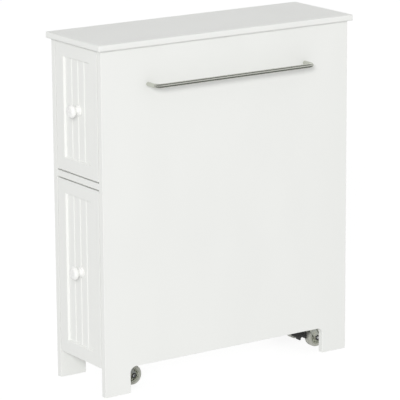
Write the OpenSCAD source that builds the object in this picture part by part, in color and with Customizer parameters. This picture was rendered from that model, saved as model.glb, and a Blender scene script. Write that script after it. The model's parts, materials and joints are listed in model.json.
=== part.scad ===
// Slim rolling bathroom cabinet: a narrow, deep carcass on four casters, with two pull-out
// drawers at its front end and a towel bar on its right side.
// Front is -Y, the towel bar's side is +X, the floor is z = 0. Sizes are in millimetres.

/* [Carcass] */
// Length of the cabinet, front end to rear end
cab_len = 550; // [500:5:700]
// Width of the cabinet across its two side panels
cab_wid = 170; // [160:1:260]
// Height of the top panel's underside above the floor
cab_ht = 648; // [540:1:800]
// Thickness of the carcass boards and of the drawer fronts
board = 12; // [11:0.1:16]
// How far the top panel stands out all round
overhang = 8; // [2:0.5:20]
// Radius on the top panel's edges
top_edge_r = 3; // [1:0.5:4]
// Radius on the arrises of the side panels, shelf and fronts
arris_r = 0.6; // [0.3:0.1:3]
// Height of the middle shelf's underside above the floor
shelf_z = 392; // [340:1:440]

/* [Feet] */
// Gap between the feet and the floor, so that the casters carry the weight
foot_gap = 2; // [1:0.5:8]
// Width of each foot along the side panel
foot_wid = 55; // [30:1:90]
// Fillet in the cut-out's upper corners
cutout_r = 12; // [4:1:25]

/* [Drawer fronts] */
// Gap at each side of a front
side_gap = 2; // [1:0.25:4]
// Gap between a front and the middle shelf
shelf_gap = 2.5; // [1.5:0.25:5]
// Gap between the upper front and the top panel
top_gap = 2; // [1:0.25:4]
// How far the lower front stops above the bottom panel's underside
front_lift = 3.5; // [1:0.5:9]
// Width of the upright border beside the planked field
stile_wid = 26; // [18:1:34]
// Width of the border above and below the planked field
rail_wid = 25; // [18:1:40]
// Depth of the planked field below the border
field_depth = 4; // [2:0.25:6]
// Run of the sloping wall round the field
wall_run = 2; // [0.5:0.25:5]
// Number of planks in the field
plank_count = 4; // [2:1:7]
// Width of the groove between two planks
groove_wid = 3; // [1.5:0.25:5]
// Depth of the groove between two planks
groove_depth = 1.5; // [0.5:0.25:2.5]

/* [Knobs] */
// Diameter of the knob's head
knob_d = 25; // [18:0.5:36]
// Length of the knob from the planks to its crown
knob_len = 20.5; // [16:0.5:32]
// Diameter of the knob's foot
knob_foot_d = 20; // [12:0.5:22]
// Diameter of the knob's neck
knob_neck_d = 13; // [8:0.5:14]

/* [Drawer boxes] */
// Space left behind the drawer boxes
box_rear_gap = 26; // [5:1:80]
// Thickness of the boxes' sides and backs
box_t = 9; // [9:0.5:12]
// Height of the upper box's sides
upper_side_ht = 120; // [80:5:180]
// Height of the lower box's sides
lower_side_ht = 160; // [80:5:260]
// Gap between a box and the board below it
box_lift = 8; // [5:0.5:20]
// Thickness of the boxes' bottoms
box_bottom_t = 3; // [2.5:0.5:5]
// Height of a box's bottom above the box's lower edge
bottom_inset = 10; // [6:0.5:18]
// Depth of the grooves that hold a box's bottom
bottom_groove = 4; // [2:0.5:5]

/* [Drawer slides] */
// Thickness of a slide, which is the space between a box and a side panel
slide_t = 12.7; // [12.2:0.01:15.5]
// Thickness of the slides' steel sheet
sheet = 1.2; // [1:0.1:1.4]
// Height of the ball tracks above and below a slide's middle
ball_w = 13.5; // [11:0.5:16]
// Running gap round the balls
race_gap = 0.3; // [0.2:0.05:0.4]
// Part of its length that a slide pulls out by
extension = 0.75; // [0.5:0.05:0.8]
// Distance between the balls in a cage
ball_pitch = 29; // [8:1:40]
// Height of a slide's middle above the box's lower edge
slide_lift = 40; // [30:1:60]

/* [Towel bar] */
// Distance between the towel bar's two posts
bar_span = 350; // [200:5:420]
// Diameter of the towel bar's rod
bar_d = 8; // [6:0.5:12]
// Distance from the side panel to the rod's centre line
bar_reach = 30; // [24:1:70]
// Radius of the towel bar's bends at the centre line
bar_bend = 12; // [9:1:20]
// Distance from the top panel's underside down to the towel bar
bar_drop = 70; // [40:1:140]

/* [Casters] */
// Wheel diameter
wheel_d = 38; // [34:0.1:46]
// Width of the wheel's tread
wheel_wid = 16; // [12:0.5:16.5]
// Height of a caster above its wheel
caster_rise = 14; // [13:0.5:24]
// Distance of the front casters' swivel axes from the front end
caster_front = 72; // [62:1:110]
// Distance of the rear casters' swivel axes from the rear end
caster_rear = 52; // [42:1:110]
// Distance of the wheel's axle behind the swivel axis
trail = 16.5; // [15:0.5:19]
// Gap that a caster leaves to the side panel when its wheel turns outwards
swing_gap = 3.6; // [2:0.1:6]
// Width of the brake pedal's toe
pedal_wid = 28; // [22:0.5:32]

/* [Hidden] */
$fn = 64;

// Colours
white_paint = "#f3f3f0";
beech = "#d9b27c";
zinc = "#b9bcc0";
steel = "#a9abad";
clear_grey = "#b4b5a6";
pale_grey = "#cfd0c6";
black = "#202020";

// Clearances and overcuts
fit = 0.05;    // round a screw, bolt, dowel or cam in its hole
run_fit = 0.06; // round a shaft that turns in its hole
cut = 1;       // overcut of a tool past a face

// Carcass
inner_half = cab_wid / 2 - board;
front_y = -cab_len / 2;
rear_y = cab_len / 2;
back_y = rear_y - board;           // inner face of the back panel
wheel_r = wheel_d / 2;
cutout_top = wheel_d + caster_rise; // also the bottom panel's underside
floor_z = cutout_top + board;      // top of the bottom panel
shelf_top = shelf_z + board;
front_back = front_y + board;      // back faces of the drawer fronts
bottom_front = front_back + side_gap;

// The origin is the middle of the footprint, with the bar, knobs and overhang counted
x_low = -cab_wid / 2 - overhang;
x_high = cab_wid / 2 + bar_reach + bar_d / 2;
y_low = front_y + field_depth - knob_len;
y_high = rear_y + overhang;
middle = [-(x_low + x_high) / 2, -(y_low + y_high) / 2, 0];

// Drawer fronts: [low z, high z]
front_half = inner_half - side_gap;
upper_span = [shelf_top + shelf_gap, cab_ht - top_gap];
lower_span = [cutout_top + front_lift, shelf_z - shelf_gap];

// Knobs
knob_head_t = 10;
knob_foot_t = 2.5;
knob_foot_edge = 1;

// Drawer boxes: [lower edge z, height of the sides]
box_half = inner_half - slide_t;
upper_box = [shelf_top + box_lift, upper_side_ht];
lower_box = [floor_z + box_lift, lower_side_ht];
box_rear = back_y - box_rear_gap;
box_len = box_rear - front_back;
bottom_play = 0.2;
box_edge_r = 2; // radius on a box's upper edges
box_seam_low = 22;  // from a box's lower edge to its lower cams
box_seam_high = 20; // from a box's upper edge down to its upper cams
back_screw_inset = 20;
back_seam_inset = 90;

// Screws: [shank radius, head radius, head height]
wood_screw = [1.75, 3, 0.9];
plate_screw = [1.9, 3.5, 2];
bar_screw = [2, 4, 2.4];
wood_left = 2; // wood left past a screw's bore
tip_room = 1;  // from a screw's tip to the end of its bore
rail_screw_len = board - wood_left;
runner_screw_len = box_t - wood_left;
plate_screw_len = board - wood_left;
back_screw_len = 30;
back_screw_head = [3.5, 2]; // radius and depth of the countersunk head
bar_screw_grip = 10; // length inside the rod
knob_screw_grip = 11; // length inside the knob

// Slides: u runs from the side panel to the box, w is up from the slide's middle
rail_y = bottom_front;
slide_len = box_len;
cage_t = 0.6;
cage_arm = 0.8;
race_slack = 0.8; // between the rail's race and the runner's web
cage_u = sheet + wood_screw[2] + race_gap;
race_u = cage_u + cage_t + race_gap;
ball_r = (slide_t - race_u - 3 * sheet - 2 * race_gap - race_slack) / 2;
race_in = ball_r + race_gap;
race_out = race_in + sheet;
ball_u = race_u + race_out;
cage_reach = race_out - race_slack;
track_gap = 1.6; // between the edges of the two races
travel = extension * slide_len;
cage_end = 2.5; // from a cage's end to the members' ends at full travel
cage_len = slide_len - travel - 2 * cage_end;
cage_balls = floor(cage_len / ball_pitch);
cage_y = rail_y + (slide_len - cage_len) / 2;
slide_reach = ball_w + race_out; // half of a slide's height
slide_clear = 2; // from a slide to the head of a towel bar screw
rail_screw_inset = 35;
runner_screw_inset = 70;
rail_screw_y = [rail_y + rail_screw_inset, rail_y + slide_len - rail_screw_inset];
runner_screw_y = [rail_y + runner_screw_inset, rail_y + slide_len - runner_screw_inset];
slot_wid = 4.4;  // spare fixing slots in the rails and runners
slot_len = 12;
slot_pitch = 64;
window = [18, 13]; // length and height of a window in a ball cage

// Cam fittings
cam_r = 6;
cam_ht = board - 3.5;
box_cam_ht = box_t - 2;
cam_room = 14; // from a caster's plate to a cam's centre
seam_end = 60; // from a board's end to a cam's centre
cam_set = 24; // cam's centre from the seam
cam_slot = [1.2, 1]; // width and depth of the crossed slots in a cam's face
bolt_collar = 1;
bolt_r = 2.5;
bolt_bore_r = 3;
host_depth = 8;
dowel_r = 3;
dowel_len = 28;
dowel_step = 32; // along the seam from the cam

// Casters
plate_wid = 40;
plate_t = 2;
plate_r = 4;
plate_hole = 14;
plate_low = cutout_top - plate_t;
crown_r = 13;
crown_t = 1.6;
swivel_ball_r = 1.4;
swivel_ball_ring = 9;  // radius of the ring of balls
swivel_ball_count = 14;
skirt = [11.4, 12.6, 2.4]; // inner radius, outer radius and depth of the race's skirt
swivel_gap = 0.3;
crown_top = plate_low - 2 * (swivel_ball_r + swivel_gap);
crown_low = crown_top - crown_t;
kingpin_r = 4;
kingpin_head = [5, 6, 2]; // lower and upper radius, height
cheek_t = 1.6;
cheek_in = wheel_wid / 2 + 1;
cheek_top = 8; // half of a cheek's length at the crown
bend_r = 3; // outside of the bend between crown and cheek
boss_r = 5.5;
axle_r = 2.5;
axle_head = [3.2, 1.6]; // radius and height
washer_t = 0.8;
washer_r = 5;
core_r = wheel_r - 5.5;
hub_half = cheek_in - 0.5;
hub_r = 5;
web_half = 2;
rim_t = 2.5;
rib_count = 8;
rib_t = 1.4;
rib_drop = 1.5; // from the rim's edge down to the ribs
tread_edge = 3;
pin_at = [-10, wheel_d + 1.5]; // brake pin, back from the swivel axis and up from the floor
pin_r = 1.5;
pin_head = [2.4, 0.8]; // radius and height
rivet_taper = 0.7;     // top of a riveted head to its foot
pin_lobe = 4;
lobe_share = 0.25;   // where the lobe's lower edge meets the cheek's edge, down from the crown
shoe_r = 1.5;        // nose of the brake shoe
shoe_gap = 3.8;      // between the nose and the tread while the brake is off
shoe_angle = 176;    // where the nose meets the tread, round from the wheel's rearmost point
shoe_wid = 11;
shoe_sides = [0, 180]; // where the shoe's two edges leave the rounds of hub and nose
pedal_hub_r = 3.8;
pedal_hub_wid = 17;
pedal_neck = -5.5;   // where the pedal widens, from the pin
spur_wid = 12;
toe_slope = [[-6.5, -4.6], [-16, -10.1]]; // ends of the toe's upper face, from the pin
grip_ribs = [0.3, 0.58, 0.86]; // places of the grip ribs along the upper face
grip_r = 0.7;
grip_inset = 2;
caster_x = inner_half - swing_gap - norm([trail + wheel_r, wheel_wid / 2]);
caster_y = [front_y + caster_front, rear_y - caster_rear];

// ---- helpers -------------------------------------------------------------------------------

// Moves a drawing made about the carcass's middle to the origin
module cabinet() {
  translate(middle) children();
}

module both_sides() {
  children();
  mirror([1, 0, 0]) children();
}

module rounded_rect(w, h, r) {
  square([w - 2 * r, h], center = true);
  square([w, h - 2 * r], center = true);
  for (x = [-1, 1], y = [-1, 1]) translate([x * (w / 2 - r), y * (h / 2 - r)]) circle(r = r);
}

// A board from corner a to corner b with all its arrises rounded
module soft_board(a, b, r) {
  size = b - a;
  translate((a + b) / 2) intersection() {
    translate([0, 0, -size.z / 2]) linear_extrude(size.z) rounded_rect(size.x, size.y, r);
    translate([-size.x / 2, 0, 0]) rotate([90, 0, 90]) linear_extrude(size.x)
      rounded_rect(size.y, size.z, r);
    translate([0, size.y / 2, 0]) rotate([90, 0, 0]) linear_extrude(size.y)
      rounded_rect(size.x, size.z, r);
  }
}

module plain_board(a, b) {
  translate(a) cube(b - a);
}

// Draws along d from point p, with the local z axis along n
module aim(p, d, n) {
  c = cross(n, d);
  multmatrix([[d.x, c.x, n.x, p.x], [d.y, c.y, n.y, p.y], [d.z, c.z, n.z, p.z], [0, 0, 0, 1]])
    children();
}

// A rod along the local x axis
module rod(from, to, r) {
  translate([from, 0, 0]) rotate([0, 90, 0]) cylinder(h = to - from, r = r);
}

// Screw along the local x axis, its head's seat at 0 and its shank going forward
module screw(kind, len) {
  rod(0, len, kind[0]);
  rod(-kind[2], 0, kind[1]);
}

module screw_bore(kind, len) {
  rod(-cut, len + fit, kind[0] + fit);
}

// ---- cam fittings and dowels ----------------------------------------------------------------
// A seam is [point, direction from the host panel into the held board, face that shows the cam]

function shelf_seams(z, ends) = [for (s = [-1, 1], y = ends)
  [[s * inner_half, y, z + board / 2], [-s, 0, 0], [0, 0, -1], [0, 1, 0]]];
function top_seams() = [for (s = [-1, 1], y = [front_y + seam_end, back_y - seam_end])
  [[s * (inner_half + board / 2), y, cab_ht], [0, 0, -1], [-s, 0, 0], [0, 1, 0]]];
function back_seams() = [for (s = [-1, 1], z = [floor_z + back_seam_inset, cab_ht - back_seam_inset])
  [[s * inner_half, back_y + board / 2, z], [-s, 0, 0], [0, -1, 0], [0, 0, 1]]];
function box_seams(box) = [for (s = [-1, 1], z = [box[0] + box_seam_low, box[0] + box[1] - box_seam_high])
  [[s * (box_half - box_t / 2), front_back, z], [0, 1, 0], [-s, 0, 0], [0, 0, 1]]];

bottom_seams = shelf_seams(cutout_top, [caster_y[0] + plate_wid / 2 + cam_room,
  caster_y[1] - plate_wid / 2 - cam_room]);
middle_seams = shelf_seams(shelf_z, [front_y + seam_end, back_y - seam_end]);
// Dowels stand beside the cams, towards the board's middle
function dowel_seams(seams) = [for (j = seams)
  [j[0] - (j[0] * j[3] > j_mid(j) ? 1 : -1) * dowel_step * j[3], j[1], j[2], j[3]]];
function j_mid(j) = j[3].z == 1 ? (floor_z + cab_ht) / 2 : 0;

module cams(seams, t, ht) {
  for (j = seams) aim(j[0], j[1], j[2]) difference() {
    translate([cam_set, 0, t / 2 - ht]) cylinder(r = cam_r, h = ht);
    for (turn = [0, 90]) translate([cam_set, 0, t / 2]) rotate(turn)
      cube([cam_r, cam_slot[0], 2 * cam_slot[1]], center = true);
  }
}

module bolts(seams) {
  for (j = seams) aim(j[0], j[1], j[2]) {
    rod(-host_depth, cam_set - cam_r - fit, bolt_r);
    rod(0, bolt_collar, bolt_bore_r - fit);
  }
}

// Pocket and bore in the held board
module cam_bores(seams, t, ht) {
  for (j = seams) aim(j[0], j[1], j[2]) {
    translate([cam_set, 0, t / 2 - ht - fit]) cylinder(r = cam_r + fit, h = ht + cut);
    rod(-cut, cam_set, bolt_bore_r);
  }
}

module host_bores(seams, r) {
  for (j = seams) aim(j[0], j[1], j[2]) rod(-host_depth - fit, cut, r + fit);
}

module dowel_pegs(seams) {
  for (j = dowel_seams(seams)) aim(j[0], j[1], j[2])
    rod(-host_depth, dowel_len - host_depth, dowel_r);
}

module dowel_bores(seams) {
  for (j = dowel_seams(seams)) aim(j[0], j[1], j[2])
    rod(-cut, dowel_len - host_depth + fit, dowel_r + fit);
}

// ---- carcass --------------------------------------------------------------------------------

// Side panel's outline in the y-z plane, with the cut-out that leaves a foot at each end
module side_outline() {
  span = cab_len - 2 * foot_wid;
  difference() {
    translate([-cab_len / 2, foot_gap]) square([cab_len, cab_ht - foot_gap]);
    translate([-span / 2, 0]) square([span, cutout_top - cutout_r]);
    translate([-span / 2 + cutout_r, 0]) square([span - 2 * cutout_r, cutout_top]);
    for (s = [-1, 1]) translate([s * (span / 2 - cutout_r), cutout_top - cutout_r])
      circle(r = cutout_r);
  }
}

// The right side panel, bored for its fittings, slides and, if asked, the towel bar
module side_panel(with_bar) {
  difference() {
    intersection() {
      translate([inner_half + board / 2, 0, 0]) linear_extrude(cab_ht)
        rounded_rect(board, cab_len, arris_r);
      translate([inner_half, 0, 0]) rotate([90, 0, 90]) linear_extrude(board) side_outline();
    }
    host_bores(bottom_seams, bolt_r);
    host_bores(middle_seams, bolt_r);
    host_bores(back_seams(), bolt_r);
    host_bores(dowel_seams(bottom_seams), dowel_r);
    host_bores(dowel_seams(middle_seams), dowel_r);
    cam_bores(top_seams(), board, cam_ht);
    dowel_bores(top_seams());
    for (box = [upper_box, lower_box], y = rail_screw_y)
      aim([inner_half, y, slide_z(box)], [1, 0, 0], [0, 0, 1])
        screw_bore(wood_screw, rail_screw_len);
    if (with_bar) for (s = [-1, 1]) aim([inner_half, s * bar_span / 2, bar_z()], [1, 0, 0], [0, 0, 1])
      rod(-cut, board + cut, bar_screw[0] + fit);
  }
}

module side_panel_right() {
  color(white_paint) cabinet() side_panel(true);
}

module side_panel_left() {
  color(white_paint) cabinet() mirror([1, 0, 0]) side_panel(false);
}

module top_panel() {
  half = [cab_wid / 2 + overhang, cab_len / 2 + overhang];
  color(white_paint) cabinet() difference() {
    soft_board([-half.x, -half.y, cab_ht], [half.x, half.y, cab_ht + board], top_edge_r);
    host_bores(top_seams(), bolt_r);
    host_bores(dowel_seams(top_seams()), dowel_r);
  }
}

module bottom_panel() {
  color(white_paint) cabinet() difference() {
    plain_board([-inner_half, bottom_front, cutout_top], [inner_half, back_y, floor_z]);
    cam_bores(bottom_seams, board, cam_ht);
    dowel_bores(bottom_seams);
    at_casters() at_plate_holes() aim([0, 0, plate_low], [0, 0, 1], [1, 0, 0])
      screw_bore(plate_screw, plate_t + plate_screw_len);
  }
}

module middle_shelf() {
  color(white_paint) cabinet() difference() {
    union() {
      plain_board([-inner_half, front_y + arris_r, shelf_z], [inner_half, back_y, shelf_top]);
      translate([-inner_half, 0, 0]) rotate([90, 0, 90]) linear_extrude(2 * inner_half)
        translate([front_y + board / 2, shelf_z + board / 2]) rounded_rect(board, board, arris_r);
    }
    cam_bores(middle_seams, board, cam_ht);
    dowel_bores(middle_seams);
  }
}

module back_panel() {
  color(white_paint) cabinet() difference() {
    plain_board([-inner_half, back_y, cutout_top], [inner_half, rear_y, cab_ht]);
    cam_bores(back_seams(), board, cam_ht);
  }
}

module cam_locks() {
  color(zinc) cabinet() cams(concat(bottom_seams, middle_seams, top_seams(), back_seams()),
    board, cam_ht);
}

module cam_bolts() {
  color(steel) cabinet() bolts(concat(bottom_seams, middle_seams, top_seams(), back_seams()));
}

module dowels() {
  color(beech) cabinet() dowel_pegs(concat(bottom_seams, middle_seams, top_seams()));
}

// ---- towel bar ------------------------------------------------------------------------------

function bar_z() = cab_ht - bar_drop;

// One half of the bar, from its middle round the bend to the post on the side panel
module half_bar() {
  x0 = cab_wid / 2;
  translate([x0 + bar_reach, 0, bar_z()]) rotate([-90, 0, 0])
    cylinder(r = bar_d / 2, h = bar_span / 2 - bar_bend);
  translate([x0 + bar_reach - bar_bend, bar_span / 2 - bar_bend, bar_z()])
    rotate_extrude(angle = 90) translate([bar_bend, 0]) circle(r = bar_d / 2);
  translate([x0, bar_span / 2, bar_z()]) rotate([0, 90, 0])
    cylinder(r = bar_d / 2, h = bar_reach - bar_bend);
}

module towel_bar() {
  color(steel) cabinet() difference() {
    union() {
      half_bar();
      mirror([0, 1, 0]) half_bar();
    }
    for (s = [-1, 1]) aim([cab_wid / 2, s * bar_span / 2, bar_z()], [1, 0, 0], [0, 0, 1])
      screw_bore(bar_screw, bar_screw_grip);
  }
}

module towel_bar_screws() {
  color(zinc) cabinet()
    for (s = [-1, 1]) aim([inner_half, s * bar_span / 2, bar_z()], [1, 0, 0], [0, 0, 1])
      screw(bar_screw, board + bar_screw_grip);
}

// ---- drawer slides --------------------------------------------------------------------------

// Height of a slide's middle, kept below the heads of the towel bar's screws
function slide_z(box) =
  min(box[0] + slide_lift, bar_z() - bar_screw[1] - slide_clear - slide_reach);

module half_race(up) {
  intersection() {
    translate([ball_u, ball_w]) difference() {
      circle(r = race_out);
      circle(r = race_in);
    }
    translate([0, up ? ball_w + track_gap / 2 : ball_w - track_gap / 2 - 2 * race_out])
      square([slide_t, 2 * race_out]);
  }
}

module rail_section() {
  translate([0, -slide_reach]) square([sheet, 2 * slide_reach]);
  for (m = [0, 1]) mirror([0, m]) {
    translate([0, slide_reach - sheet]) square([ball_u, sheet]);
    half_race(true);
  }
}

module runner_section() {
  reach = ball_w - race_out;
  translate([slide_t - sheet, -reach - sheet]) square([sheet, 2 * (reach + sheet)]);
  for (m = [0, 1]) mirror([0, m]) {
    translate([ball_u, reach]) square([slide_t - ball_u, sheet]);
    half_race(false);
  }
}

module cage_section() {
  reach = ball_w + cage_arm / 2;
  translate([cage_u, -reach]) square([cage_t, 2 * reach]);
  for (m = [0, 1]) mirror([0, m]) translate([cage_u, ball_w - cage_arm / 2])
    square([ball_u + cage_reach - cage_u, cage_arm]);
}

// Sweeps a slide section along the right side panel's inner face
module along_panel(z, from, len) {
  multmatrix([[-1, 0, 0, inner_half], [0, 0, 1, from], [0, 1, 0, z], [0, 0, 0, 1]])
    linear_extrude(len) children();
}

// Spare slots between the screws of a rail or runner, in the steel from x to x + sheet
module spare_slots(x, screw_y, z) {
  gap = screw_y[1] - screw_y[0];
  count = floor(gap / slot_pitch) - 1;
  for (i = [1 : count]) translate([x - cut, screw_y[0] + i * gap / (count + 1), z])
    rotate([90, 0, 90]) linear_extrude(sheet + 2 * cut) {
      square([slot_len - slot_wid, slot_wid], center = true);
      for (s = [-1, 1]) translate([s * (slot_len - slot_wid) / 2, 0]) circle(d = slot_wid);
    }
}

module slide_rails(box) {
  color(zinc) cabinet() both_sides() difference() {
    along_panel(slide_z(box), rail_y, slide_len) rail_section();
    for (y = rail_screw_y) aim([inner_half - sheet, y, slide_z(box)], [1, 0, 0], [0, 0, 1])
      screw_bore(wood_screw, sheet + cut);
    spare_slots(inner_half - sheet, rail_screw_y, slide_z(box));
  }
}

module runners(box) {
  color(zinc) cabinet() both_sides() difference() {
    along_panel(slide_z(box), rail_y, slide_len) runner_section();
    for (y = runner_screw_y) aim([box_half + sheet, y, slide_z(box)], [-1, 0, 0], [0, 0, 1])
      screw_bore(wood_screw, sheet + cut);
    spare_slots(box_half, runner_screw_y, slide_z(box));
  }
}

// Ball cages: a strip with an arm above and below that reaches between the races, lightened
// by windows between the balls
module ball_cages(box) {
  z = slide_z(box);
  pitch = cage_len / cage_balls;
  color(steel) cabinet() both_sides() {
    difference() {
      along_panel(z, cage_y, cage_len) cage_section();
      for (i = [1 : cage_balls - 1])
        translate([inner_half - cage_u - cage_t / 2, cage_y + i * pitch, z])
          cube([cage_t + cut, window[0], window[1]], center = true);
    }
    for (m = [-1, 1], i = [0 : cage_balls - 1])
      translate([inner_half - ball_u, cage_y + (i + 0.5) * pitch, z + m * ball_w]) sphere(r = ball_r);
  }
}

module slide_screws() {
  color(zinc) cabinet() both_sides() for (box = [upper_box, lower_box], y = rail_screw_y)
    aim([inner_half - sheet, y, slide_z(box)], [1, 0, 0], [0, 0, 1])
      screw(wood_screw, sheet + rail_screw_len - tip_room);
}

// ---- drawers --------------------------------------------------------------------------------

// Pocket with sloping walls, from the front face back to the planks
module field_pocket(span) {
  half = front_half - stile_wid;
  low = span[0] + rail_wid;
  high = span[1] - rail_wid;
  lean = wall_run / field_depth * cut;
  intersection() {
    translate([0, 0, low - cut]) linear_extrude(high - low + 2 * cut)
      polygon([[-half - lean, front_y - cut], [half + lean, front_y - cut],
        [half - wall_run, front_y + field_depth], [-half + wall_run, front_y + field_depth]]);
    translate([-half - cut, 0, 0]) rotate([90, 0, 90]) linear_extrude(2 * (half + cut))
      polygon([[front_y - cut, low - lean], [front_y + field_depth, low + wall_run],
        [front_y + field_depth, high - wall_run], [front_y - cut, high + lean]]);
  }
}

// V grooves that part the field into planks
module plank_grooves(span) {
  half = front_half - stile_wid - wall_run;
  pitch = 2 * half / plank_count;
  low = span[0] + rail_wid + wall_run;
  high = span[1] - rail_wid - wall_run;
  flare = groove_wid / 2 * (1 + cut / groove_depth);
  for (i = [1 : plank_count - 1])
    translate([-half + i * pitch, front_y + field_depth, low]) linear_extrude(high - low)
      polygon([[-flare, -cut], [flare, -cut], [0, groove_depth]]);
}

module drawer_front(span, box) {
  color(white_paint) cabinet() difference() {
    soft_board([-front_half, front_y, span[0]], [front_half, front_back, span[1]], arris_r);
    field_pocket(span);
    plank_grooves(span);
    aim([0, front_back, knob_z(span)], [0, -1, 0], [0, 0, 1]) rod(-cut, board, bar_screw[0] + fit);
    host_bores(box_seams(box), bolt_r);
    plain_board([-box_half + box_t - bottom_groove, front_back - bottom_groove, box[0] + bottom_inset],
      [box_half - box_t + bottom_groove, front_back + cut,
        box[0] + bottom_inset + box_bottom_t + bottom_play]);
  }
}

// Section of a box's board, its upper edges rounded
module box_board(ht) {
  square([box_t, ht - box_edge_r]);
  translate([box_edge_r, 0]) square([box_t - 2 * box_edge_r, ht]);
  for (x = [box_edge_r, box_t - box_edge_r]) translate([x, ht - box_edge_r]) circle(r = box_edge_r);
}

// Right side of a box, with a groove for the bottom
module box_side(box) {
  difference() {
    translate([0, front_back, 0]) rotate([90, 0, 0]) mirror([0, 0, 1]) linear_extrude(box_len)
      translate([box_half - box_t, box[0]]) box_board(box[1]);
    plain_board([box_half - box_t - cut, front_back - cut, box[0] + bottom_inset],
      [box_half - box_t + bottom_groove, box_rear + cut,
        box[0] + bottom_inset + box_bottom_t + bottom_play]);
    cam_bores(box_seams(box), box_t, box_cam_ht);
    for (y = runner_screw_y) aim([box_half, y, slide_z(box)], [-1, 0, 0], [0, 0, 1])
      screw_bore(wood_screw, runner_screw_len);
    back_screw_bores(box);
  }
}

module box_side_right(box) {
  color(white_paint) cabinet() box_side(box);
}

module box_side_left(box) {
  color(white_paint) cabinet() mirror([1, 0, 0]) box_side(box);
}

// Countersunk screws through the sides into the back
module at_back_screws(box) {
  for (z = [box[0] + back_screw_inset, box[0] + box[1] - back_screw_inset])
    aim([box_half, box_rear - box_t / 2, z], [-1, 0, 0], [0, 0, 1]) children();
}

// Countersunk screw, larger all round by grow where it is used as its own bore
module back_screw(grow) {
  rod(0, back_screw_len + grow, wood_screw[0] + grow);
  translate([-grow, 0, 0]) rotate([0, 90, 0])
    cylinder(r1 = back_screw_head[0] + 2 * grow, r2 = wood_screw[0] + grow,
      h = back_screw_head[1] + 2 * grow);
}

module back_screw_bores(box) {
  at_back_screws(box) back_screw(fit);
}

module box_back(box) {
  half = box_half - box_t;
  color(white_paint) cabinet() difference() {
    translate([-half, 0, 0]) rotate([90, 0, 90]) linear_extrude(2 * half)
      translate([box_rear - box_t, box[0]]) box_board(box[1]);
    plain_board([-half - cut, box_rear - box_t - cut, box[0] + bottom_inset],
      [half + cut, box_rear - box_t + bottom_groove,
        box[0] + bottom_inset + box_bottom_t + bottom_play]);
    both_sides() back_screw_bores(box);
  }
}

module box_bottom(box) {
  half = box_half - box_t + bottom_groove - bottom_play;
  low = box[0] + bottom_inset;
  color(white_paint) cabinet() plain_board([-half, front_back - bottom_groove + bottom_play, low],
    [half, box_rear - box_t + bottom_groove - bottom_play, low + box_bottom_t]);
}

function knob_z(span) = (span[0] + span[1]) / 2;

// Turned knob: foot with a rounded edge, waisted neck and a flattened round head
module knob(span) {
  head_r = knob_d / 2;
  foot_r = knob_foot_d / 2;
  neck_r = knob_neck_d / 2;
  rim = knob_head_t / 2;
  cove = (knob_len - knob_head_t - knob_foot_t) / 2;
  color(white_paint) cabinet() translate([0, front_y + field_depth, knob_z(span)])
    rotate([90, 0, 0]) difference() {
      rotate_extrude() {
        square([foot_r - knob_foot_edge, knob_foot_t]);
        square([foot_r, knob_foot_t - knob_foot_edge]);
        translate([foot_r - knob_foot_edge, knob_foot_t - knob_foot_edge]) intersection() {
          circle(r = knob_foot_edge);
          square(knob_foot_edge);
        }
        difference() {
          square([min(neck_r + cove, foot_r - knob_foot_edge), knob_len - rim]);
          translate([neck_r + cove, knob_foot_t + cove]) circle(r = cove);
        }
        translate([0, knob_len - knob_head_t]) square([head_r - rim, knob_head_t]);
        translate([head_r - rim, knob_len - rim]) circle(r = rim);
      }
      translate([0, 0, -cut]) cylinder(r = bar_screw[0] + fit, h = knob_screw_grip + cut + fit);
    }
}

// Everything of steel that holds a drawer together: knob screw, cams, bolts and screws
module fixings(span, box) {
  color(zinc) cabinet() {
    aim([0, front_back, knob_z(span)], [0, -1, 0], [0, 0, 1])
      screw(bar_screw, board - field_depth + knob_screw_grip);
    cams(box_seams(box), box_t, box_cam_ht);
    bolts(box_seams(box));
    both_sides() {
      at_back_screws(box) back_screw(0);
      for (y = runner_screw_y) aim([box_half + sheet, y, slide_z(box)], [-1, 0, 0], [0, 0, 1])
        screw(wood_screw, sheet + runner_screw_len - tip_room);
    }
  }
}

// ---- casters --------------------------------------------------------------------------------

// Places a caster by its corner: i is 0 left or 1 right, k is 0 front or 1 rear
module caster_at(i, k) {
  cabinet() translate([(2 * i - 1) * caster_x, caster_y[k], 0]) children();
}

module at_casters() {
  for (s = [-1, 1], y = caster_y) translate([s * caster_x, y, 0]) children();
}

module at_plate_holes() {
  for (x = [-1, 1], y = [-1, 1]) translate([x * plate_hole, y * plate_hole, 0]) children();
}

// Top plate with its upper race, kingpin and riveted head
module caster_plate() {
  color(zinc) difference() {
    union() {
      translate([0, 0, plate_low]) linear_extrude(plate_t) rounded_rect(plate_wid, plate_wid, plate_r);
      translate([0, 0, plate_low - skirt[2]]) difference() {
        cylinder(r = skirt[1], h = skirt[2] + plate_t / 2);
        translate([0, 0, -cut]) cylinder(r = skirt[0], h = skirt[2] + cut);
      }
      translate([0, 0, crown_low - kingpin_head[2]])
        cylinder(r = kingpin_r, h = plate_low - crown_low + kingpin_head[2] + plate_t / 2);
      translate([0, 0, crown_low - swivel_gap - kingpin_head[2]])
        cylinder(r1 = kingpin_head[0], r2 = kingpin_head[1], h = kingpin_head[2]);
    }
    at_plate_holes() translate([0, 0, plate_low - cut])
      cylinder(r = plate_screw[0] + fit, h = plate_t + 2 * cut);
  }
}

// Rings of balls that carry the forks, one ring to a caster
module swivel_balls() {
  color(steel) cabinet() at_casters() for (i = [0 : swivel_ball_count - 1])
    rotate(360 * i / swivel_ball_count)
      translate([swivel_ball_ring, 0, plate_low - swivel_gap - swivel_ball_r])
        sphere(r = swivel_ball_r);
}

module caster_screws() {
  color(zinc) cabinet() at_casters() at_plate_holes()
    aim([0, 0, plate_low], [0, 0, 1], [1, 0, 0]) screw(plate_screw, plate_t + plate_screw_len);
}

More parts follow.
